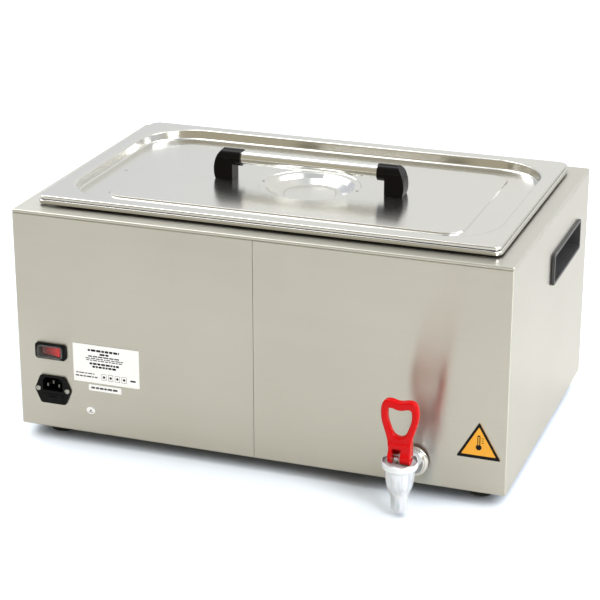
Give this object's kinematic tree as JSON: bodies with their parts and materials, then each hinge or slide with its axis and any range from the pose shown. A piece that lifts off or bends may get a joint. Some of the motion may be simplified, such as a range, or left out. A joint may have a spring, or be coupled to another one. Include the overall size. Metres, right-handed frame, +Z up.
{
  "type": "paraffin wax bath",
  "caption": "Electric wax bath: steel casing round a heated water tank, lift-out pan with lid, drain tap with looped lever, switch and mains inlet.",
  "frame": {"origin": "middle of the object's outline on the floor, level with the undersides of the feet", "axes": "+Z up, +X along the long side, tap side facing -Y with the tap towards +X"},
  "size_m": [0.577, 0.4588, 0.3107],
  "materials": {
    "case_steel": "fine horizontal brushing, satin, slightly warm",
    "bright_steel": "pressed sheet, satin to mirror-like, faint draw marks",
    "polished_steel": "polished",
    "black_plastic": "semi-gloss moulded, fine texture",
    "foot_rubber": "matt moulded rubber",
    "lever_red": "glossy moulded plastic",
    "rocker_red": "translucent lit rocker",
    "boot_clear": "clear flexible boot, glossy",
    "tap_clear": "milky translucent plastic, glossy",
    "tap_white": "white moulded plastic",
    "silicone": "soft white silicone",
    "pin_metal": "nickel-plated",
    "copper": "drawn copper, dull",
    "ceramic": "unglazed steatite",
    "bakelite": "moulded phenolic",
    "lamp_lens": "amber lens",
    "mineral_wool": "felted mineral wool",
    "element_steel": "dull heat-darkened sheath",
    "wire_sleeve": "silicone-sleeved wires",
    "label_white": "coated white label with plain grey bars",
    "label_yellow": "coated yellow label with black border"
  },
  "bodies": {
    "casing": {"casing_left": "case_steel", "casing_right": "case_steel", "top_deck": "case_steel", "base_plate": "case_steel", "element_clamp": "case_steel", "well_tank": "bright_steel", "tap_wall_ring": "polished_steel", "tap_lock_nut": "polished_steel", "tap_spring": "polished_steel", "drain_elbow": "polished_steel", "foot_screw_front_left": "polished_steel", "foot_screw_front_right": "polished_steel", "foot_screw_rear_left": "polished_steel", "foot_screw_rear_right": "polished_steel", "inlet_screw_left": "polished_steel", "inlet_screw_right": "polished_steel", "side_handle_left": "black_plastic", "side_handle_right": "black_plastic", "switch_frame": "black_plastic", "inlet_body": "black_plastic", "foot_front_left": "foot_rubber", "foot_front_right": "foot_rubber", "foot_rear_left": "foot_rubber", "foot_rear_right": "foot_rubber", "tap_washer": "foot_rubber", "switch_boot": "boot_clear", "tap_body": "tap_clear", "tap_collar": "tap_white", "inlet_pin_live": "pin_metal", "inlet_pin_neutral": "pin_metal", "inlet_pin_earth": "pin_metal", "thermostat_bulb": "copper", "thermal_cutout": "copper", "terminal_block": "ceramic", "thermostat_body": "bakelite", "indicator_lamp": "lamp_lens", "well_insulation": "mineral_wool", "heating_element": "element_steel", "supply_wires": "wire_sleeve", "element_wires": "wire_sleeve", "rating_plate": "label_white", "serial_label": "label_white", "check_sticker": "label_white", "heat_mark": "label_yellow"},
    "pan": {"wax_pan": "bright_steel"},
    "lid": {"lid": "bright_steel", "lid_handle_tube": "polished_steel", "lid_bracket_left": "black_plastic", "lid_bracket_right": "black_plastic", "lid_screw_left": "polished_steel", "lid_screw_right": "polished_steel"},
    "tap_stem": {"tap_stem": "tap_white", "tap_seal_cup": "silicone", "tap_lever_pin": "polished_steel"},
    "tap_lever": {"tap_lever": "lever_red"},
    "rocker": {"switch_rocker": "rocker_red"},
    "knob": {"thermostat_knob": "black_plastic", "thermostat_shaft": "polished_steel"},
    "fuse_drawer": {"fuse_drawer": "black_plastic", "fuse_cartridge": "ceramic"}
  },
  "joints": [
    {"name": "pan_lift", "type": "slide", "parent": "casing", "child": "pan", "axis": [0, 0, 1], "range_m": [0, 0.2]},
    {"name": "lid_lift", "type": "slide", "parent": "pan", "child": "lid", "axis": [0, 0, 1], "range_m": [0, 0.12]},
    {"name": "stem_lift", "type": "slide", "parent": "casing", "child": "tap_stem", "axis": [0, 0, 1], "range_m": [0, 0.004], "stiffness_N_per_m": 150, "springref_m": -0.004, "deforming": ["tap_spring"]},
    {"name": "lever_tilt", "type": "hinge", "parent": "tap_stem", "child": "tap_lever", "pos_m": [0.183, -0.2095, 0.0703], "axis": [1, 0, 0], "range_deg": [0, 75]},
    {"name": "rocker_tilt", "type": "hinge", "parent": "casing", "child": "rocker", "pos_m": [-0.244, -0.1545, 0.1093], "axis": [0, 0, 1], "range_deg": [0, 20]},
    {"name": "knob_turn", "type": "hinge", "parent": "casing", "child": "knob", "pos_m": [-0.19, 0.2095, 0.062], "axis": [0, -1, 0], "range_deg": [0, 270]},
    {"name": "fuse_drawer_slide", "type": "slide", "parent": "casing", "child": "fuse_drawer", "axis": [0, -1, 0], "range_m": [0, 0.018]}
  ],
  "couplings": [
    {"joint": "stem_lift", "follows": "lever_tilt", "m_per_rad": 0.003}
  ]
}
